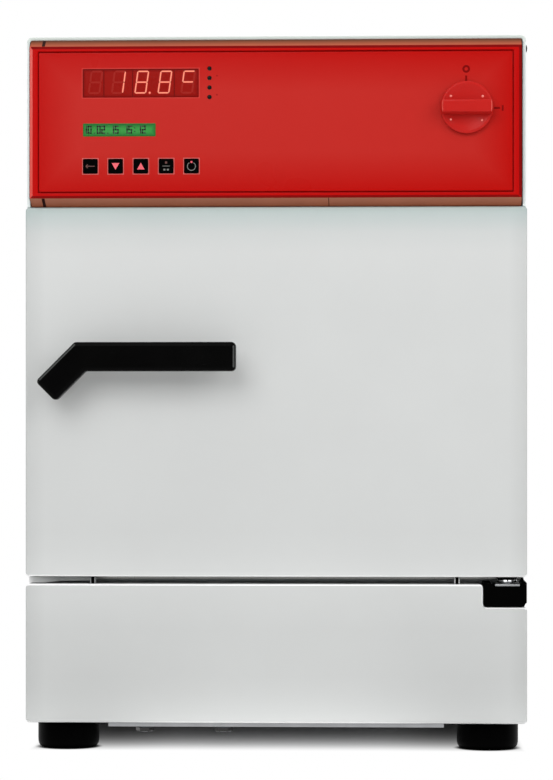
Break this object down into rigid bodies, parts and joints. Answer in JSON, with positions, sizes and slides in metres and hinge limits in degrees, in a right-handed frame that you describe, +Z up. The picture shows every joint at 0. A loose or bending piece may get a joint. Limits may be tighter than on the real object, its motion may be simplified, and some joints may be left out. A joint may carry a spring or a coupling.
{
  "type": "refrigerated incubator",
  "caption": "Bench-top refrigerated incubator: insulated chamber behind a hinged door with a lever handle, inner glass door, wire shelves, control panel above and cooling unit below.",
  "frame": {"origin": "centre of the overall box in X and Y, on the floor under the feet", "axes": "+X to the right as seen from the front, +Y to the rear (the door faces -Y), +Z up"},
  "size_m": [0.434, 0.5584, 0.618],
  "materials": {
    "white_powder_coat": "satin powder coat",
    "zinc_steel": "zinc plated",
    "black_plastic": "moulded, matt",
    "handle_plastic": "moulded, fine grain",
    "stainless_steel": "brushed",
    "foam": "cut foam",
    "chromed_wire": "polished",
    "aluminium_fins": "rolled",
    "black_rubber": "matt",
    "silicone": "matt",
    "black_enamel": "gloss enamel",
    "copper": "drawn",
    "circuit_board": "solder mask",
    "red_plastic": "semi-gloss",
    "red_foil": "semi-gloss foil",
    "display_red": "clear red lens",
    "display_green": "clear lens",
    "safety_glass": "clear"
  },
  "bodies": {
    "cabinet": {"outer_casing": "white_powder_coat", "rear_cover": "zinc_steel", "side_plug": "black_plastic", "front_frame": "stainless_steel", "chamber_liner": "stainless_steel", "chamber_insulation": "foam", "lower_shelf": "chromed_wire", "upper_shelf": "chromed_wire", "air_baffle": "stainless_steel", "fan_motor": "zinc_steel", "heater_ring": "stainless_steel", "evaporator": "aluminium_fins", "temperature_probe": "stainless_steel", "machine_deck": "zinc_steel", "base_pan": "zinc_steel", "lower_front_panel": "white_powder_coat", "front_left_foot": "black_rubber", "front_right_foot": "black_rubber", "rear_left_foot": "black_rubber", "rear_right_foot": "black_rubber", "compressor": "black_enamel", "condenser": "aluminium_fins", "condenser_fan_frame": "black_plastic", "filter_drier": "copper", "discharge_line": "copper", "liquid_line": "copper", "capillary_line": "copper", "suction_line": "copper", "power_inlet": "black_plastic", "power_board": "circuit_board", "control_housing": "red_plastic", "control_panel": "red_foil", "display_window": "display_red", "text_window": "display_green", "key_board": "circuit_board", "main_switch": "black_plastic", "lower_hinge_bracket": "black_plastic", "lower_hinge_plate": "zinc_steel", "upper_hinge_bracket": "zinc_steel", "latch_keeper": "zinc_steel"},
    "door": {"door_shell": "white_powder_coat", "door_insulation": "foam", "door_liner": "stainless_steel", "door_seal": "silicone", "lower_door_bush": "black_plastic", "upper_door_bush": "black_plastic"},
    "door_handle": {"handle_lever": "handle_plastic", "latch_spindle": "zinc_steel"},
    "glass_door": {"glass_pane": "safety_glass", "lower_glass_clip": "stainless_steel", "upper_glass_clip": "stainless_steel", "glass_knob": "black_plastic"},
    "chamber_fan": {"circulation_fan": "aluminium_fins"},
    "cooling_fan": {"condenser_fan": "black_plastic"},
    "main_switch_knob": {"switch_knob": "red_plastic"},
    "key_1_body": {"key_1": "black_plastic"},
    "key_2_body": {"key_2": "black_plastic"},
    "key_3_body": {"key_3": "black_plastic"},
    "key_4_body": {"key_4": "black_plastic"},
    "key_5_body": {"key_5": "black_plastic"}
  },
  "joints": [
    {"name": "door_hinge", "type": "hinge", "parent": "cabinet", "child": "door", "pos_m": [0.1994, -0.22725, 0.1514], "axis": [0, 0, 1], "range_deg": [0, 110]},
    {"name": "handle_turn", "type": "hinge", "parent": "door", "child": "door_handle", "pos_m": [-0.187, -0.27225, 0.3205], "axis": [0, -1, 0], "range_deg": [0, 45]},
    {"name": "glass_door_hinge", "type": "hinge", "parent": "cabinet", "child": "glass_door", "pos_m": [0.173, -0.19175, 0.2369], "axis": [0, 0, 1], "range_deg": [0, 80]},
    {"name": "chamber_fan_spin", "type": "hinge", "parent": "cabinet", "child": "chamber_fan", "pos_m": [0, 0.12935, 0.3109], "axis": [0, 1, 0], "continuous": true},
    {"name": "cooling_fan_spin", "type": "hinge", "parent": "cabinet", "child": "cooling_fan", "pos_m": [0.0645, 0.23265, 0.0783], "axis": [0, 1, 0], "continuous": true},
    {"name": "switch_turn", "type": "hinge", "parent": "cabinet", "child": "main_switch_knob", "pos_m": [0.1642, -0.25125, 0.5541], "axis": [0, -1, 0], "range_deg": [0, 90]},
    {"name": "key_1_press", "type": "slide", "parent": "cabinet", "child": "key_1_body", "axis": [0, 1, 0], "range_m": [0, 0.0005], "stiffness_N_per_m": 800},
    {"name": "key_2_press", "type": "slide", "parent": "cabinet", "child": "key_2_body", "axis": [0, 1, 0], "range_m": [0, 0.0005], "stiffness_N_per_m": 800},
    {"name": "key_3_press", "type": "slide", "parent": "cabinet", "child": "key_3_body", "axis": [0, 1, 0], "range_m": [0, 0.0005], "stiffness_N_per_m": 800},
    {"name": "key_4_press", "type": "slide", "parent": "cabinet", "child": "key_4_body", "axis": [0, 1, 0], "range_m": [0, 0.0005], "stiffness_N_per_m": 800},
    {"name": "key_5_press", "type": "slide", "parent": "cabinet", "child": "key_5_body", "axis": [0, 1, 0], "range_m": [0, 0.0005], "stiffness_N_per_m": 800}
  ],
  "couplings": [
    {"joint": "glass_door_hinge", "follows": "door_hinge", "ratio": 0.72727}
  ]
}
